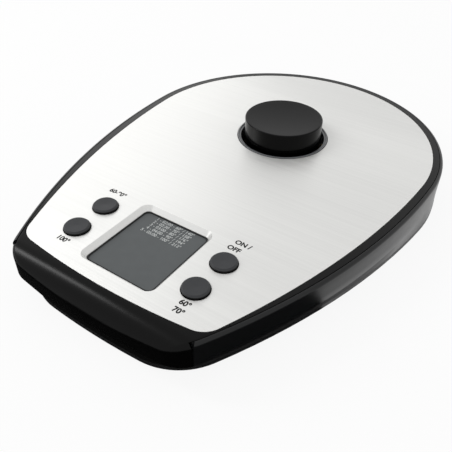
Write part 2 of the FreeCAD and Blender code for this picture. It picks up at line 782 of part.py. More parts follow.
# Push buttons, each on a silicone dome that pushes it up against the chassis.
flange_top = chassis_under - d.button_stop_gap
flange_under = flange_top - d.button_flange_thickness
stem_under = control_top + d.dome_height + d.dome_rest_gap
button_top = plate_top + d.button_proud
flange_radius = d.button_radius + d.button_flange
for place, (x, y) in button_places.items():
    button = new_body("button_" + place, x, y)
    turned(button, [
        (zero, stem_under),
        (d.button_stem_radius, stem_under),
        (d.button_stem_radius, flange_under),
        (flange_radius, flange_under),
        (flange_radius, flange_top),
        (d.button_radius, flange_top),
        (d.button_radius, button_top - d.button_chamfer),
        (d.button_radius - d.button_chamfer, button_top),
        (zero, button_top - d.button_dish),
    ])
    dome = new_body("dome_" + place, x, y, control_top)
    turned(dome, [
        (d.button_stem_radius, zero),
        (d.dome_base_radius, zero),
        (d.dome_base_radius, d.dome_base_thickness),
        (d.button_stem_radius + d.dome_wall, d.dome_height),
        (zero, d.dome_height),
        (zero, d.dome_height - d.dome_wall * 2),
        (d.button_stem_radius, d.dome_height - d.dome_wall * 2),
    ])

# Connector: a closed tower on a flange, the collar round its foot and three spring contacts between them.
tower_top = plate_top + d.tower_height
tower_inside = d.tower_radius - d.tower_wall
ceiling = tower_top - d.dish_depth - d.tower_wall
connector_tower = new_body("connector_tower")
tower_form = turned(connector_tower, [
    (tower_inside, connector_base),
    (connector_flange, connector_base),
    (connector_flange, collar_seat),
    (d.tower_radius, collar_seat),
    (d.tower_radius, tower_top),
    (zero, tower_top),
    (zero, ceiling),
    (tower_inside, ceiling),
])
rounded(connector_tower, tower_form, d.tower_edge, rim_edge(d.tower_radius, tower_top))
hollow_top(connector_tower, d.tower_radius - d.dish_rim, d.dish_depth, tower_top)
holes(connector_tower, collar_seat, through_radius, connector_screw_places)
contact_slots = sketch_on(connector_tower, "XY_Plane", collar_seat)
slot_gap = d.through_gap * 2
contact_middle = contact_inner + d.contact_thickness / 2
rounded_rectangle(contact_slots, d.contact_thickness + slot_gap, d.contact_tab_width + slot_gap,
                  d.through_gap, contact_middle, zero)
slot_cut = pocket(connector_tower, contact_slots)
slot_ring = connector_tower.newObject("PartDesign::PolarPattern", "slot_ring")
slot_ring.Originals = [slot_cut]
slot_ring.Axis = (contact_slots, ["N_Axis"])
slot_ring.Angle = 360
slot_ring.Occurrences = 3
connector_tower.Tip = slot_ring

connector_collar = new_body("connector_collar")
collar_top = plate_top + d.collar_proud
collar_form = turned(connector_collar, [
    (collar_inner, collar_seat),
    (connector_flange, collar_seat),
    (connector_flange, collar_flange_top),
    (collar_outer, collar_flange_top),
    (collar_outer, collar_top),
    (collar_outer - d.collar_lip, collar_top),
    (collar_outer - d.collar_lip, collar_top - d.collar_step),
    (collar_inner, collar_top - d.collar_step),
])
rounded(connector_collar, collar_form, d.collar_edge, lies_at(collar_top))
holes(connector_collar, collar_flange_top, through_radius, connector_screw_places)

for third, contact_name in enumerate(("live", "neutral", "earth")):
    contact = new_body("contact_" + contact_name, z=collar_seat)
    contact.Placement.Rotation = FreeCAD.Rotation(Vector(0, 0, 1), third_of_turn * third)
    turned(contact, [
        (contact_inner, zero),
        (contact_inner + d.contact_thickness, zero),
        (contact_inner + d.contact_thickness, d.contact_height),
        (contact_inner, d.contact_height),
    ], d.contact_angle)
    tab = sketch_on(contact, "XY_Plane", -d.contact_tab_drop)
    rounded_rectangle(tab, d.contact_thickness, d.contact_tab_width, d.contact_thickness / 4,
                      contact_middle, zero)
    pad(contact, tab, d.contact_tab_drop + d.contact_thickness)

# Power board on the floor posts, with the parts that switch and feed the heater.
power_board = block("power_board", d.power_width, d.power_length, d.board_thickness, d.board_corner,
                    zero, power_y, power_under)
holes(power_board, d.board_thickness, through_radius, [(x, y - power_y) for x, y in power_screw_places])
block("relay", d.relay_width, d.relay_length, d.relay_height, d.board_corner,
      d.power_width * d.relay_share, power_y, power_top)
block("transformer", d.transformer_width, d.transformer_length, d.transformer_height, d.board_corner,
      d.power_width * d.transformer_share, power_y, power_top)
block("film_capacitor", d.film_width, d.film_length, d.film_height, d.board_corner,
      d.power_width * d.film_share, power_y, power_top)
block("terminal_block", d.terminal_width, d.terminal_length, d.terminal_height, d.through_gap,
      d.power_width * d.terminal_share, power_y, power_top)
for label, radius, height, share in (("can_capacitor", d.can_radius, d.can_height, d.can_share),
                                     ("buzzer", d.buzzer_radius, d.buzzer_height, d.buzzer_share)):
    can = new_body(label, d.power_width * share, power_y, power_top)
    pillars(can, zero, radius, [(zero, zero)], height)

# Screws, one group for each joint that they hold.
screw_group("housing_screws", housing_screw_places, d.boss_top - d.boss_web,
            d.boss_web + d.housing_screw_bite - d.moulding_gap, upward=True)
screw_group("control_board_screws", control_screw_places, control_under,
            d.board_thickness + d.board_screw_bite - d.moulding_gap, upward=True)
screw_group("connector_screws", connector_screw_places, connector_base,
            d.connector_flange_thickness * 2 + d.connector_screw_bite - d.moulding_gap, upward=True)
screw_group("power_board_screws", power_screw_places, power_top,
            d.board_thickness + d.board_screw_bite - d.moulding_gap, upward=False)

# Rubber feet, let into the floor.
for place, (x, y) in foot_places.items():
    foot = new_body("foot_" + place, x, y)
    foot_form = pillars(foot, zero, d.foot_radius, [(zero, zero)], d.foot_proud + d.foot_seat)
    rounded(foot, foot_form, d.foot_edge, lies_at(zero))

# Cord gland: a bush through the rear wall with its flange inside, turned about its own axis along Y.
gland_end = shell.rear - d.gland_set_back
cord_gland = new_body("cord_gland", z=d.gland_height)
cord_gland.Placement.Rotation = FreeCAD.Rotation(Vector(1, 0, 0), -90)
turned(cord_gland, [
    (d.gland_bore, gland_inside - d.gland_flange_thickness),
    (d.gland_flange_radius, gland_inside - d.gland_flange_thickness),
    (d.gland_flange_radius, gland_inside),
    (d.gland_radius, gland_inside),
    (d.gland_radius, gland_end),
    (d.gland_bore, gland_end),
])

doc.recompute()
for thing in doc.Objects:
    if "Invalid" in thing.State or "Error" in thing.State:
        raise RuntimeError(thing.Name + " in " + thing.Label + " did not build")
for part in parts:
    if part.Shape.isNull() or not part.Shape.isValid() or part.Shape.Volume <= 0:
        raise RuntimeError(part.Label + " has no valid shape")

os.makedirs("parts", exist_ok=True)
for part in parts:
    part.Shape.exportStep("parts/" + part.Label + ".step")
    box = part.Shape.BoundBox
    print(part.Label, "solids", len(part.Shape.Solids), "volume", round(part.Shape.Volume, 1),
          "z", round(box.ZMin, 2), round(box.ZMax, 2))
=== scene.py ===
import math

import bmesh
import bpy
from mathutils import Matrix, Vector


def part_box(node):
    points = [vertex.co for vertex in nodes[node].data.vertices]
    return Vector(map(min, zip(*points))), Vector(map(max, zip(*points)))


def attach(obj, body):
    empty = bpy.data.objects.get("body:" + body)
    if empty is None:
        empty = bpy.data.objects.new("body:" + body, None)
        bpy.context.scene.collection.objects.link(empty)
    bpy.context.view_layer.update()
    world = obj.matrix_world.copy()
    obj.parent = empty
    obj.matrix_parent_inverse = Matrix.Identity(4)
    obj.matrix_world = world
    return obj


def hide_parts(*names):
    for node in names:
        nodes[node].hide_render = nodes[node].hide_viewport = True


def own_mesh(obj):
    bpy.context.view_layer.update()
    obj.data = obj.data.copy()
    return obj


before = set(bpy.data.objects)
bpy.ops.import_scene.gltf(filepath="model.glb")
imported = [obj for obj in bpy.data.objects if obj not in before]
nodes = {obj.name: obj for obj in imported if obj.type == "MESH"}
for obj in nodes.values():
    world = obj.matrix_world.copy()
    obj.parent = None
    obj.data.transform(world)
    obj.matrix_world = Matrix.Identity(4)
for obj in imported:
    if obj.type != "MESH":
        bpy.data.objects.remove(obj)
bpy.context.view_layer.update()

# Lower housing
# The tray under the base, moulded in black ABS with a fine spark-eroded grain.
# It carries the power board and is screwed to the chassis from below.


def linear(hex_colour):
    """The linear colour of an sRGB hex value."""
    channels = []
    for start in (1, 3, 5):
        value = int(hex_colour[start:start + 2], 16) / 255
        channels.append(value / 12.92 if value <= 0.04045 else ((value + 0.055) / 1.055) ** 2.4)
    return (*channels, 1.0)


def add_node(tree, kind, values=None, *sources, **links):
    """Adds a node, sets its properties or sockets, and links sources to its sockets.

    Sources are linked in the order of the sockets, links by name with an underscore for a space.
    """
    node = tree.nodes.new(kind)
    for name, value in (values or {}).items():
        if hasattr(node, name):
            setattr(node, name, value)
        else:
            node.inputs[name].default_value = value
    for socket, source in zip(node.inputs, sources):
        tree.links.new(source, socket)
    for name, source in links.items():
        tree.links.new(source, node.inputs[name.replace("_", " ")])
    return node


def new_material(name, colour, roughness, metallic=0.0):
    """A material with its principled shader."""
    material = bpy.data.materials.new(name)
    material.use_nodes = True
    shader = material.node_tree.nodes["Principled BSDF"]
    shader.inputs["Base Color"].default_value = linear(colour)
    shader.inputs["Roughness"].default_value = roughness
    shader.inputs["Metallic"].default_value = metallic
    return material, shader


def textured(name, colour, roughness, grain, relief, edge,
             spread=0.25, lay=(1, 1, 1), metallic=0.0, gloss=0.5):
    """A moulded or brushed surface: noise of one grain, in metres, varies tone, roughness and relief.

    edge is the radius that softens corners, spread how far the roughness varies, lay how dense the
    grain is along each axis, and gloss how strongly the surface reflects. Real mould grain is near
    0.1 mm; it is drawn a few times as coarse, so that it shows.
    """
    material, shader = new_material(name, colour, roughness, metallic)
    tree = material.node_tree
    shader.inputs["Specular IOR Level"].default_value = gloss
    place = add_node(tree, "ShaderNodeTexCoord")
    stretched = add_node(tree, "ShaderNodeMapping", {"Scale": lay}, Vector=place.outputs["Object"])
    noise = add_node(tree, "ShaderNodeTexNoise", {"Scale": 1 / grain, "Detail": 3.0},
                     Vector=stretched.outputs[0])
    grains_to_a_patch = 40
    broad = add_node(tree, "ShaderNodeTexNoise", {"Scale": 1 / (grain * grains_to_a_patch), "Detail": 2.0},
                     Vector=stretched.outputs[0])
    both = add_node(tree, "ShaderNodeMath", {"operation": "ADD"},
                    noise.outputs["Fac"], broad.outputs["Fac"])
    # The sum of the two noises lies mostly between these values.
    both_range = {"From Min": 0.6, "From Max": 1.4}
    smoothest, roughest = roughness * (1 - spread), roughness * (1 + spread)
    varied = add_node(tree, "ShaderNodeMapRange", {**both_range, "To Min": smoothest, "To Max": roughest},
                      Value=both.outputs[0])
    tree.links.new(varied.outputs[0], shader.inputs["Roughness"])
    tone_spread = 0.06
    tone = add_node(tree, "ShaderNodeMapRange",
                    {**both_range, "To Min": 1 - tone_spread, "To Max": 1 + tone_spread},
                    Value=both.outputs[0])
    shade = add_node(tree, "ShaderNodeHueSaturation", {"Color": linear(colour)}, Value=tone.outputs[0])
    tree.links.new(shade.outputs[0], shader.inputs["Base Color"])
    soft = add_node(tree, "ShaderNodeBevel", {"samples": 6, "Radius": edge})
    bump = add_node(tree, "ShaderNodeBump", {"Strength": 1.0, "Distance": relief},
                    Height=noise.outputs["Fac"], Normal=soft.outputs[0])
    tree.links.new(bump.outputs[0], shader.inputs["Normal"])
    return material


def smooth_group(join_distance, crease):
    """Geometry nodes that join loose corners and shade smoothly where faces meet at less than a crease."""
    group = bpy.data.node_groups.new("smooth_by_angle", "GeometryNodeTree")
    group.interface.new_socket("Geometry", in_out="INPUT", socket_type="NodeSocketGeometry")
    group.interface.new_socket("Geometry", in_out="OUTPUT", socket_type="NodeSocketGeometry")
    start = add_node(group, "NodeGroupInput")
    joined = add_node(group, "GeometryNodeMergeByDistance", {"Distance": join_distance},
                      Geometry=start.outputs[0])
    faces = add_node(group, "GeometryNodeSetShadeSmooth", {"domain": "FACE", "Shade Smooth": True},
                     Geometry=joined.outputs[0])
    angle = add_node(group, "GeometryNodeInputMeshEdgeAngle")
    small = add_node(group, "FunctionNodeCompare", {"operation": "LESS_THAN"},
                     angle.outputs["Unsigned Angle"])
    small.inputs[1].default_value = crease
    edges = add_node(group, "GeometryNodeSetShadeSmooth", {"domain": "EDGE"},
                     Geometry=faces.outputs[0], Shade_Smooth=small.outputs[0])
    add_node(group, "NodeGroupOutput", Geometry=edges.outputs[0])
    return group


smoothing = smooth_group(join_distance=0.000001, crease=math.radians(28))


def dress(material, *names):
    """Gives CAD nodes a material and smooth shading."""
    for name in names:
        node = nodes[name]
        node.data.materials.clear()
        node.data.materials.append(material)
        node.modifiers.new("smooth", "NODES").node_group = smoothing
        node.modifiers.new("even_normals", "WEIGHTED_NORMAL").keep_sharp = True


# Grained ABS: a dull black whose fine grain breaks up every reflection.
grained_abs = textured("grained_black_abs", "#151516",
                       roughness=0.5, grain=0.0004, relief=0.00002, edge=0.0002)
dress(grained_abs, "lower_housing")

# Housing screws
# Six zinc-plated pan-head screws with a cross recess, sunk in the wells of the floor.
# They pull the lower housing up against the chassis posts.


def ring(mesh, radius, level, count=32):
    """A round loop of corners at one level."""
    turns = [2 * math.pi * step / count for step in range(count)]
    return [mesh.verts.new((radius * math.cos(turn), radius * math.sin(turn), level)) for turn in turns]


def skin(mesh, lower, upper):
    """Faces between two loops with the same number of corners."""
    for step in range(len(lower)):
        following = (step + 1) % len(lower)
        mesh.faces.new((lower[step], lower[following], upper[following], upper[step]))


def cross_loop(mesh, arm, half_width, level):
    """The outline of a cross with four equal arms."""
    corners = []
    for quarter in range(4):
        turn = Matrix.Rotation(quarter * math.pi / 2, 3, "Z")
        for place in ((arm, -half_width, level), (arm, half_width, level), (half_width, half_width, level)):
            corners.append(mesh.verts.new(turn @ Vector(place)))
    return corners


def loop_edges(mesh, corners):
    """The edges round a loop of corners, made where there are none."""
    pairs = zip(corners, corners[1:] + corners[:1])
    return [mesh.edges.get(pair) or mesh.edges.new(pair) for pair in pairs]


def mesh_data(mesh, name):
    """The finished mesh as data for an object."""
    data = bpy.data.meshes.new(name)
    mesh.to_mesh(data)
    mesh.free()
    return data


def new_object(name, data):
    """An object of this data, put in the scene."""
    made = bpy.data.objects.new(name, data)
    bpy.context.scene.collection.objects.link(made)
    return made


def plain_mesh(piece):
    """The mesh of a piece as its modifiers leave it."""
    evaluated = piece.evaluated_get(bpy.context.evaluated_depsgraph_get())
    return bpy.data.meshes.new_from_object(evaluated)


def repeat_group(name):
    """Geometry nodes that stand one mesh on every point, turned at random about Z, in one material."""
    group = bpy.data.node_groups.new(name, "GeometryNodeTree")
    group.interface.new_socket("Geometry", in_out="INPUT", socket_type="NodeSocketGeometry")
    group.interface.new_socket("Piece", in_out="INPUT", socket_type="NodeSocketObject")
    group.interface.new_socket("Finish", in_out="INPUT", socket_type="NodeSocketMaterial")
    group.interface.new_socket("Most Turn", in_out="INPUT", socket_type="NodeSocketFloat")
    group.interface.new_socket("Geometry", in_out="OUTPUT", socket_type="NodeSocketGeometry")
    start = add_node(group, "NodeGroupInput")
    piece = add_node(group, "GeometryNodeObjectInfo", Object=start.outputs["Piece"])
    turn = add_node(group, "FunctionNodeRandomValue", {"data_type": "FLOAT", "Seed": 4})
    group.links.new(start.outputs["Most Turn"], turn.inputs[3])
    lean = add_node(group, "ShaderNodeCombineXYZ", Z=turn.outputs[1])
    stood = add_node(group, "GeometryNodeInstanceOnPoints", Points=start.outputs["Geometry"],
                     Instance=piece.outputs["Geometry"], Rotation=lean.outputs[0])
    real = add_node(group, "GeometryNodeRealizeInstances", Geometry=stood.outputs[0])
    coated = add_node(group, "GeometryNodeSetMaterial",
                      Geometry=real.outputs[0], Material=start.outputs["Finish"])
    add_node(group, "NodeGroupOutput", Geometry=coated.outputs[0])
    return group


# Zinc plating: bright grey metal with soft, slightly uneven reflections.
zinc_steel = textured("zinc_plated_steel", "#b4b3ac",
                      roughness=0.35, grain=0.0004, relief=0.00001, edge=0.0002, metallic=1.0)
screw_low, screw_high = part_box("housing_screws")
screw_length = screw_high.z - screw_low.z
head_radius, head_height = 0.0027, 0.0018
shank_radius = 0.0014
tip_radius, tip_length = 0.0009, 0.001
# Radius and level of each ring, from the crown of the head, which looks down, up to the tip.
crown = [(0.0021, 0.0), (0.0025, 0.0002), (head_radius, 0.0006)]
profile = crown + [(head_radius, head_height), (shank_radius, head_height),
                   (shank_radius, screw_length - tip_length), (tip_radius, screw_length)]
screw_mesh = bmesh.new()
rings = [ring(screw_mesh, radius, level) for radius, level in profile]
for lower, upper in zip(rings, rings[1:]):
    skin(screw_mesh, lower, upper)
screw_mesh.faces.new(rings[-1])
mouth_arm, mouth_half_width = 0.0015, 0.00035
recess_arm, recess_half_width, recess_depth = 0.0008, 0.00022, 0.0011
mouth = cross_loop(screw_mesh, mouth_arm, mouth_half_width, 0.0)
recess = cross_loop(screw_mesh, recess_arm, recess_half_width, recess_depth)
skin(screw_mesh, mouth, recess)
screw_mesh.faces.new(recess)
face_edges = loop_edges(screw_mesh, rings[0]) + loop_edges(screw_mesh, mouth)
bmesh.ops.triangle_fill(screw_mesh, edges=face_edges)
bmesh.ops.recalc_face_normals(screw_mesh, faces=screw_mesh.faces)
pattern_screw = bpy.data.objects.new("one_screw", mesh_data(screw_mesh, "one_screw"))

# The wells lie in mirrored pairs.
well_places = ((0.043, -0.068), (0.06006, -0.01002), (0.04992, 0.06588))
screw_places = [(side * x, y, screw_low.z) for x, y in well_places for side in (-1, 1)]
point_mesh = bpy.data.meshes.new("cross_recess_screws")
point_mesh.from_pydata(screw_places, [], [])
screws = new_object("cross_recess_screws", point_mesh)
repeat = screws.modifiers.new("repeat", "NODES")
repeat.node_group = repeat_group("stand_screws")
group_items = repeat.node_group.interface.items_tree
sockets = {item.name: item.identifier for item in group_items if item.in_out == "INPUT"}
repeat[sockets["Piece"]] = pattern_screw
repeat[sockets["Finish"]] = zinc_steel
repeat[sockets["Most Turn"]] = math.pi / 2
screws.data = plain_mesh(screws)
screws.modifiers.remove(repeat)
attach(screws, "base")
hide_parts("housing_screws")

# Feet and cord gland
# Soft black rubber with a matt skin; the feet are let into their seats in the floor.
# The gland is a bush pushed through the rear wall from inside.

# Rubber: a deep black that shows hardly any highlight.
rubber = textured("black_rubber", "#131313", roughness=0.8, grain=0.0003, relief=0.00002, edge=0.0003)
feet = [name for name in nodes if name.startswith("foot_")]
dress(rubber, "cord_gland", *feet)

# Power board
# A glass-fibre board with the relay, transformer, capacitors, buzzer and terminals soldered on.
# It lies on posts of the housing floor and is held by screws.

# Lacquered glass fibre: dark green with a dull sheen.
fibre_board = textured("green_glass_fibre", "#1f5134",
                       roughness=0.4, grain=0.0003, relief=0.00001, edge=0.0001)
# Moulded epoxy: a dull, dark blue grey.
epoxy_case = textured("moulded_epoxy", "#22303c", roughness=0.45, grain=0.0005, relief=0.00001, edge=0.0002)
# Drawn metal: faint streaks run up its height, ten times as long as they are wide.
drawn_upright = (1, 1, 0.1)
# Aluminium: silvery, with a soft sheen.
sleeve = textured("aluminium_can", "#9a9ca0", roughness=0.3, grain=0.0002, relief=0.000005, edge=0.0003,
                  lay=drawn_upright, metallic=1.0)
dress(fibre_board, "power_board")
dress(epoxy_case, "relay", "transformer", "film_capacitor", "terminal_block", "buzzer")
dress(sleeve, "can_capacitor")
dress(zinc_steel, "power_board_screws")

# Connector
# The tower is a closed round moulding in polished black ABS; the kettle's socket drops over it.
# A collar rings its foot, and three sprung contacts stand in the groove between them.
# Tower and collar are screwed up under the chassis by their flanges.


def polished(name, colour, roughness, gloss):
    """Plastic from a polished mould: hardly any relief, and corners that catch a thin line of light."""
    return textured(name, colour, roughness, grain=0.002, relief=0.000001, edge=0.0002,
                    spread=0.1, gloss=gloss)


# Polished ABS: nearly black, with a faint image of the room.
polished_abs = polished("polished_black_abs", "#030303", roughness=0.2, gloss=0.1)
# Grey ABS: a lighter ring that parts the tower from the steel; its grey is partly the collar's own tone and
# partly painted highlight for the light lines along its edges.
collar_abs_painted_highlight = polished("grey_abs_painted_highlight", "#5c5e60", roughness=0.2, gloss=0.5)
# Rolled brass: dull yellow metal.
spring_brass = textured("spring_brass", "#7a6238", roughness=0.45, grain=0.0002, relief=0.000005,
                        edge=0.0001, lay=drawn_upright, metallic=1.0)
dress(polished_abs, "connector_tower")
dress(collar_abs_painted_highlight, "connector_collar")
dress(spring_brass, "contact_live", "contact_neutral", "contact_earth")
dress(zinc_steel, "connector_screws")

# Control board
# A second glass-fibre board, under the display and the buttons, screwed to posts of the chassis.
# It carries the display's light and the four switch domes.
dress(fibre_board, "control_board")
dress(zinc_steel, "control_board_screws")

# Switch domes
# Four thin cones of grey silicone on the control board, moulded with a solid top under each key's stem.
# A dome buckles as its key goes down, and pushes it back.


def smooth_shaded(data, crease=math.radians(50)):
    """Shades a mesh smoothly, with sharp edges where faces meet at more than a crease."""
    data.shade_smooth()
    data.set_sharp_from_angle(angle=crease)


# Silicone: pale grey, soft and dull.
silicone = textured("grey_silicone", "#8a8d8c", roughness=0.6, grain=0.0005, relief=0.00001, edge=0.0002)
# Radius and level of each ring, from the foot up.
dome_outside = [(0.0044, 0.0), (0.0044, 0.00055), (0.00425, 0.0007), (0.00275, 0.00265), (0.0025, 0.0028)]
dome_inside = [(0.0036, 0.0), (0.002, 0.0016)]
for place in ("rear_left", "rear_right", "front_left", "front_right"):
    low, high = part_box("dome_" + place)
    foot = Vector(((low.x + high.x) / 2, (low.y + high.y) / 2, low.z))
    dome_mesh = bmesh.new()
    outside = [ring(dome_mesh, radius, level) for radius, level in dome_outside]
    inside = [ring(dome_mesh, radius, level) for radius, level in dome_inside]
    for lower, upper in zip([inside[0]] + outside, outside):
        skin(dome_mesh, lower, upper)
    skin(dome_mesh, *inside)
    dome_mesh.faces.new(outside[-1])
    dome_mesh.faces.new(inside[-1])
    bmesh.ops.recalc_face_normals(dome_mesh, faces=dome_mesh.faces)
    bmesh.ops.translate(dome_mesh, verts=dome_mesh.verts, vec=foot)
    dome = new_object("switch_dome_" + place, mesh_data(dome_mesh, "switch_dome_" + place))
    smooth_shaded(dome.data)
    dome.data.materials.append(silicone)
    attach(dome, "base")
    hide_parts("dome_" + place)
    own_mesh(dome)

# Buttons
# Four round keys moulded in ABS, their tops lightly dished for a fingertip, with painted shade on their
# sides.
# Each is pushed up against the chassis by its dome.


def looks_up(tree):
    """How far a face looks up: 1 on a level top, 0 on an upright wall, -1 on a level underside."""
    place = add_node(tree, "ShaderNodeTexCoord")
    facing = add_node(tree, "ShaderNodeSeparateXYZ", Vector=place.outputs["Normal"])
    return facing.outputs["Z"]


# ABS keys: a dull grey top with nearly black sides; the black on faces that look sideways or down is
# painted shade.
keys_with_painted_side_shade = textured("abs_keys_painted_side_shade", "#3e3f41",
                   roughness=0.42, grain=0.0004, relief=0.000006, edge=0.0003, gloss=0.15)
painted_side_shade = "#060606"
black_up_to, grey_from = 0.45, 0.6
tree = keys_with_painted_side_shade.node_tree
shader = tree.nodes["Principled BSDF"]
grey_top = shader.inputs["Base Color"].links[0].from_socket
# Painted shade: faces darken to nearly black the less they look up.
upward = add_node(tree, "ShaderNodeMapRange", {"From Min": black_up_to, "From Max": grey_from},
                  Value=looks_up(tree))
top_and_painted_shade = add_node(tree, "ShaderNodeMixRGB", {"Color1": linear(painted_side_shade)},
                    Fac=upward.outputs[0], Color2=grey_top)
tree.links.new(top_and_painted_shade.outputs[0], shader.inputs["Base Color"])
dress(keys_with_painted_side_shade, *[name for name in nodes if name.startswith("button_")])

# Display
# A window of smoked glass, seated on a black rubber gasket under the recess of the plate.
# Behind it lie the liquid crystal cell and its light guide, on the control board.


def lettering(name, lines, size, weight, level, material):
    """Flat print: each line is words, the place that they align to, and how they align there."""
    joined = bmesh.new()
    for words, place, align in lines:
        curve = bpy.data.curves.new(name, "FONT")
        curve.body = words
        curve.offset = weight / size
        curve.align_x = align
        curve.align_y = "CENTER"
        writing = new_object(name, curve)
        flat = plain_mesh(writing)
        bpy.data.objects.remove(writing)
        flat.transform(Matrix.Translation((*place, level)) @ Matrix.Scale(size, 4))
        joined.from_mesh(flat)
    bmesh.ops.recalc_face_normals(joined, faces=joined.faces)
    for face in joined.faces:
        if face.normal.z < 0:
            face.normal_flip()
    piece = new_object(name, mesh_data(joined, name))
    piece.data.materials.append(material)
    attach(piece, "base")


# Smoked glass with a matt face: an even grey pane without a sharp mirror image.
smoked_glass = textured("smoked_window", "#5e6162", roughness=0.35, grain=0.004, relief=0.000001,
                        edge=0.0001, spread=0.1, gloss=0.1)
# Glass cell: a smooth green grey behind the window.
crystal = textured("liquid_crystal_cell", "#5d635f",
                   roughness=0.25, grain=0.002, relief=0.000002, edge=0.0001)
# Milky plastic: an even, dull white.
light_guide = textured("light_guide", "#d9dcd6", roughness=0.5, grain=0.001, relief=0.00001, edge=0.0001)
dress(smoked_glass, "display_lens")
dress(crystal, "display_panel")
dress(light_guide, "display_light")
dress(rubber, "display_gasket")

# Five rows of plain numbers and degrees, in pale ink that stands out from the grey pane.
# They are printed behind the window's face, and drawn just above it to show.
pale_ink = textured("pale_display_ink", "#c3c6c5",
                    roughness=0.5, grain=0.0005, relief=0.000001, edge=0.00005, gloss=0.1)
print_lift = 0.00002
row_right, row_first, row_pitch = 0.0095, -0.0562, 0.00215
row_height, row_weight = 0.0022, 0.00003
lowest_celsius, celsius_step = 60, 10
rows = []
for step, time_shown in enumerate(("02:00", "02:30", "03:00", "04:00", "05:00")):
    celsius = lowest_celsius + celsius_step * step
    fahrenheit = celsius * 9 // 5 + 32
    words = f"{step + 1} - {time_shown} - {celsius}\u00b0 / {fahrenheit}\u00b0"
    rows.append((words, (row_right, row_first - row_pitch * step), "RIGHT"))
window_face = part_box("display_lens")[1].z
lettering("display_rows", rows, row_height, row_weight, window_face + print_lift, pale_ink)

# Chassis
# The inner frame in black ABS, polished where it shows as a narrow rim round the plate.
# It carries the plate, the boards and the connector, and is screwed down to the lower housing.

# Polished ABS: a thin black line round the steel, which catches the room's light in places.
rim_abs = polished("polished_black_rim_abs", "#030303", roughness=0.2, gloss=0.15)
dress(rim_abs, "chassis")

# Side band
# A thin wall of satin black ABS, moulded in one piece round the rear and both sides.
# It is held between the lower housing and the chassis, and its two ends meet the nose.


def matt_below(material):
    """Keeps the mould's matt skin on faces that look down, so that only those above are polished."""
    tree = material.node_tree
    shader = tree.nodes["Principled BSDF"]
    polish = shader.inputs["Roughness"].links[0].from_socket
    polished_down_to, matt_below_that = 0.0, -0.5
    matt = add_node(tree, "ShaderNodeMapRange", {"From Min": polished_down_to, "From Max": matt_below_that},
                    Value=looks_up(tree))
    rougher = add_node(tree, "ShaderNodeMath", {"operation": "MAXIMUM"}, matt.outputs[0], polish)
    tree.links.new(rougher.outputs[0], shader.inputs["Roughness"])


def half_plan(rear, side, corner, front, reach, half):
    """Centre, radius and both end angles of the rear, side and corner arcs of half a plan outline.

    The outline is given by the radii of its four arcs, the reach from the connector to the front,
    and half the distance between the corners' centres.
    """
    front_centre = Vector((0, front - reach))
    corner_centre = Vector((half, front_centre.y - math.sqrt((front - corner) ** 2 - half ** 2)))
    span = corner_centre.length
    along = ((side - rear) ** 2 - (side - corner) ** 2 + span ** 2) / (2 * span)
    across = math.sqrt((side - rear) ** 2 - along ** 2)
    forward = corner_centre / span
    side_centre = forward * along + Vector((forward.y, -forward.x)) * across
    rear_turn = math.atan2(-side_centre.y, -side_centre.x)
    side_turn = math.atan2(*reversed(corner_centre - side_centre))
    front_turn = math.atan2(*reversed(corner_centre - front_centre))
    return [(Vector((0, 0)), rear, math.pi / 2, rear_turn), (side_centre, side, rear_turn, side_turn),
            (corner_centre, corner, side_turn, front_turn)]


def plan_points(arcs, inside, steps=80):
    """Points along half an outline that lies inside the arcs, each arc in equal turns."""
    points = []
    for centre, radius, first, last in arcs:
        for step in range(steps):
            turn = first + (last - first) * step / steps
            points.append(centre + Vector((math.cos(turn), math.sin(turn))) * (radius - inside))
    return points


def cut_and_spread(points, front, count):
    """The run of points up to the level y = front, spread out again at equal distances."""
    run = [points[0]]
    for before, after in zip(points, points[1:]):
        if after.y <= front:
            run.append(before.lerp(after, (before.y - front) / (before.y - after.y)))
            break
        run.append(after)
    marks = [0.0]
    for before, after in zip(run, run[1:]):
        marks.append(marks[-1] + (after - before).length)
    spread = []
    index = 0
    for step in range(count + 1):
        mark = marks[-1] * step / count
        while index < len(run) - 2 and marks[index + 1] < mark:
            index += 1
        share = (mark - marks[index]) / (marks[index + 1] - marks[index])
        spread.append(run[index].lerp(run[index + 1], share))
    return spread


# Satin ABS: black that turns grey where it mirrors the pale floor.
band_abs = polished("satin_black_abs", "#0c0d0e", roughness=0.3, gloss=0.3)
matt_below(band_abs)
upright_plan = half_plan(rear=0.0776, side=0.280, corner=0.015, front=0.380, reach=0.138, half=0.0315)
floor_plan = half_plan(rear=0.078, side=0.310, corner=0.027, front=0.330, reach=0.1354, half=0.020)
# The outlines are drawn about the connector, which stands behind the middle of the base.
connector_y = 0.030
band_foot, band_belly, band_top = 0.0036, 0.0111, 0.0216
band_wall, band_roll = 0.0015, 0.0013
band_front, band_end_round = -0.131, 0.0015
band_columns, belly_steps, roll_steps = 150, 5, 6
outer_levels = (0.0142, 0.0173)
inner_levels = (band_top, 0.0213, 0.0208, 0.0201, band_belly, band_foot)
# The outer face is drawn a hair inside its outline, so that no facet stands out of the part's box.
hair = 0.00003
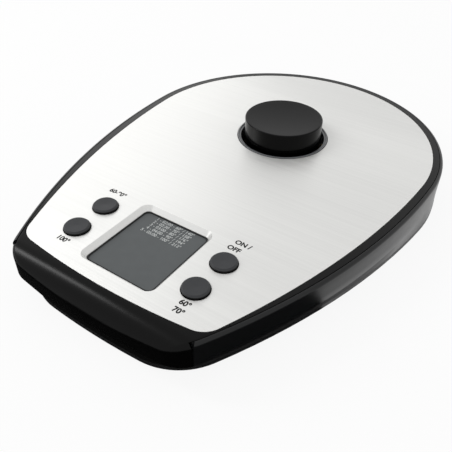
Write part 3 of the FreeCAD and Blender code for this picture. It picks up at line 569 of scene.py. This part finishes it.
# Each row of the wall is its level and how far it lies inside the outline:
# up the outer face, over the lip and down inside.
band_rows = []
for step in range(belly_steps + 1):
    band_rows.append((band_foot + (band_belly - band_foot) * step / belly_steps, hair))
band_rows += [(level, hair) for level in outer_levels]
for step in range(roll_steps + 1):
    turn = math.pi / 2 * step / roll_steps
    level = band_top - band_roll + band_roll * math.sin(turn)
    band_rows.append((level, hair + band_roll * (1 - math.cos(turn))))
band_rows += [(level, band_wall) for level in inner_levels]
band_mesh = bmesh.new()
band_grid = []
for level, inside in band_rows:
    share = min(1.0, (level - band_foot) / (band_belly - band_foot))
    pairs = zip(plan_points(floor_plan, inside), plan_points(upright_plan, inside))
    points = [low.lerp(high, share) for low, high in pairs]
    above_round = min(band_end_round, max(0.0, level - (band_top - band_end_round)))
    front = band_front + band_end_round - math.sqrt(band_end_round ** 2 - above_round ** 2)
    right = cut_and_spread(points, front, band_columns)
    whole = [Vector((-place.x, place.y)) for place in reversed(right[1:])] + right
    band_grid.append([band_mesh.verts.new((place.x, place.y + connector_y, level)) for place in whole])
for row, following in zip(band_grid, band_grid[1:] + band_grid[:1]):
    for column in range(len(row) - 1):
        band_mesh.faces.new((row[column], row[column + 1], following[column + 1], following[column]))
for end in (0, -1):
    band_mesh.faces.new([row[end] for row in band_grid])
bmesh.ops.recalc_face_normals(band_mesh, faces=band_mesh.faces)
band = new_object("side_band_wall", mesh_data(band_mesh, "side_band_wall"))
band.data.materials.append(band_abs)

# The hole for the cord gland is drilled through the rear of the wall.
gland_hole_radius, gland_level = 0.0055, 0.0115
drill_length, wall_from_connector = 0.01, 0.077
drill_middle = Matrix.Translation((0, connector_y + wall_from_connector, gland_level))
drill_place = drill_middle @ Matrix.Rotation(math.pi / 2, 4, "X")
drill_mesh = bmesh.new()
bmesh.ops.create_cone(drill_mesh, cap_ends=True, segments=64, radius1=gland_hole_radius,
                      radius2=gland_hole_radius, depth=drill_length, matrix=drill_place)
drill = new_object("drill", mesh_data(drill_mesh, "drill"))
drilled = band.modifiers.new("drilled", "BOOLEAN")
drilled.operation = "DIFFERENCE"
drilled.object = drill
band.data = plain_mesh(band)
band.modifiers.remove(drilled)
bpy.data.objects.remove(drill)
smooth_shaded(band.data)
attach(band, "base")
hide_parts("side_band")

# Nose
# The front moulding in polished black ABS, rolled over towards the plate.
# It clips to the front of the housing between the two ends of the band.

# Polished ABS: the deepest black of the body, with light only along its roll.
nose_abs = polished("polished_black_nose_abs", "#030303", roughness=0.22, gloss=0.12)
matt_below(nose_abs)
dress(nose_abs, "front_nose")

# Steel plate
# A thin stainless sheet, brushed crosswise, with the display recess pressed into it.
# It is bonded into the shallow seat of the chassis.

# Brushed steel: fine streaks across the plate and highlights drawn out lengthwise.
# A little less than full metal gives the pale haze of the brushing.
# The lines are drawn about three times as wide as real ones, so that they show.
brushed_crosswise = (0.01, 1, 1)
brushed_steel = textured("brushed_stainless_steel", "#e0e0de", roughness=0.45, grain=0.0009, relief=0.00003,
                         edge=0.0002, lay=brushed_crosswise, metallic=0.75)
tree = brushed_steel.node_tree
shader = tree.nodes["Principled BSDF"]
shader.inputs["Anisotropic"].default_value = 0.7
across_the_brush = add_node(tree, "ShaderNodeCombineXYZ", {"Y": 1.0})
tree.links.new(across_the_brush.outputs[0], shader.inputs["Tangent"])
dress(brushed_steel, "top_plate")

# Button legends
# Plain numbers and a switch mark beside the buttons, screen printed in black ink on the steel.
# The print is drawn a little above the steel so that it shows.

# Screen ink: a flat black.
black_ink = textured("screen_print_ink", "#1a1a1a",
                     roughness=0.6, grain=0.0004, relief=0.000001, edge=0.00005, gloss=0.1)
plate_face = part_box("top_plate")[1].z
legend_height, legend_weight = 0.0032, 0.00012
legend_places = (("60-90\u00b0", (-0.0323, -0.0546)), ("100\u00b0", (-0.0284, -0.0890)),
                 ("ON /", (0.0298, -0.0520)), ("OFF", (0.0282, -0.0560)),
                 ("60\u00b0", (0.0303, -0.0886)), ("70\u00b0", (0.0304, -0.0924)))
legends = [(words, place, "CENTER") for words, place in legend_places]
lettering("button_legends", legends, legend_height, legend_weight, plate_face + print_lift, black_ink)

# Floor, light and camera
# A floor of white paper in an even white room, with a softbox and a strip light on the left.
# A dark sheet before the nose is seen only in reflections.


def background_rays(tree):
    """One for rays straight from the camera, a mirror or glass, and nought for light on the object."""
    path = add_node(tree, "ShaderNodeLightPath")
    seen = add_node(tree, "ShaderNodeMath", {"operation": "MAXIMUM"},
                    path.outputs["Is Camera Ray"], path.outputs["Is Glossy Ray"])
    seen_through = add_node(tree, "ShaderNodeMath", {"operation": "MAXIMUM"},
                            seen.outputs[0], path.outputs["Is Transmission Ray"])
    return seen_through.outputs[0]


# The floor lies just below the feet, and is clear from below, so that the underside can be seen.
reach, just_below = 4.0, -0.0001
floor_outline = [(-reach, -reach), (reach, -reach), (reach, reach), (-reach, reach)]
floor_mesh = bpy.data.meshes.new("floor")
floor_mesh.from_pydata([(x, y, just_below) for x, y in floor_outline], [], [(0, 1, 2, 3)])
floor = new_object("floor", floor_mesh)
# Matt paper: nearly white, with a soft shadow under the object.
paper, shader = new_material("white_paper", "#f6f6f6", roughness=0.9)
floor_mesh.materials.append(paper)
floor_white = 0.9
tree = paper.node_tree
share = add_node(tree, "ShaderNodeMapRange", {"To Max": floor_white}, Value=background_rays(tree))
white = add_node(tree, "ShaderNodeEmission", {"Strength": 1.0})
both = add_node(tree, "ShaderNodeMixShader", None, share.outputs[0], shader.outputs[0], white.outputs[0])
clear = add_node(tree, "ShaderNodeBsdfTransparent")
face_side = add_node(tree, "ShaderNodeNewGeometry")
one_sided = add_node(tree, "ShaderNodeMixShader", None,
                     face_side.outputs["Backfacing"], both.outputs[0], clear.outputs[0])
tree.links.new(one_sided.outputs[0], tree.nodes["Material Output"].inputs["Surface"])

# The room is white to the camera and in reflections, and lights the object a little less.
world = bpy.data.worlds.new("studio")
bpy.context.scene.world = world
world.use_nodes = True
tree = world.node_tree
room_light = 0.7
strength = add_node(tree, "ShaderNodeMapRange", {"To Min": room_light, "To Max": 1.0},
                    Value=background_rays(tree))
tree.links.new(strength.outputs[0], tree.nodes["Background"].inputs["Strength"])
tree.nodes["Background"].inputs["Color"].default_value = (1, 1, 1, 1)


def lamp(name, place, width, height, power):
    """A soft rectangular lamp that faces the plate."""
    light = bpy.data.lights.new(name, "AREA")
    light.shape = "RECTANGLE"
    light.size = width
    light.size_y = height
    light.energy = power
    holder = new_object(name, light)
    holder.location = place
    holder.rotation_euler = (-Vector(place)).to_track_quat("-Z", "Y").to_euler()


lamp("softbox_left", place=(-0.69, 0.59, 0.51), width=0.5, height=0.25, power=0.5)
lamp("strip_front_left", place=(-0.64, -0.28, 0.57), width=0.14, height=0.5, power=2.2)

# The sheet darkens what the polished front mirrors; it takes no light from the object.
sheet_level = 0.0003
sheet_outline = [(-0.11, -0.100), (-0.11, -0.30), (0.20, -0.30),
                 (0.20, -0.045), (0.060, -0.045), (0.036, -0.100)]
sheet_mesh = bpy.data.meshes.new("dark_sheet")
sheet_mesh.from_pydata([(x, y, sheet_level) for x, y in sheet_outline], [], [(0, 1, 2, 3, 4, 5)])
dark_sheet = new_object("dark_sheet", sheet_mesh)
# Black card: a flat black.
black_card = new_material("black_card", "#0c0c0c", roughness=0.9)[0]
sheet_mesh.materials.append(black_card)
dark_sheet.visible_camera = False
dark_sheet.visible_diffuse = False
dark_sheet.visible_shadow = False

# The camera stands at the front right and looks down; the values are the fit to the photograph.
camera_azimuth = math.radians(33.826)
camera_height = math.radians(38.949)
camera_roll = math.radians(1.004)
camera_distance = 0.21296
camera_aim = Vector((0.01799, -0.04634, plate_face))
camera_back = Vector((math.sin(camera_azimuth) * math.cos(camera_height),
                      -math.cos(camera_azimuth) * math.cos(camera_height), math.sin(camera_height)))
view = bpy.data.cameras.new("photo_view")
view.sensor_width = 36.0
view.lens = 42.77
view.clip_start = 0.01
camera = new_object("photo_view", view)
camera.location = camera_aim + camera_back * camera_distance
camera.rotation_euler = (camera_back.to_track_quat("Z", "Y").to_matrix()
                         @ Matrix.Rotation(camera_roll, 3, "Z")).to_euler()
bpy.context.scene.camera = camera
bpy.context.scene.view_settings.view_transform = "Standard"
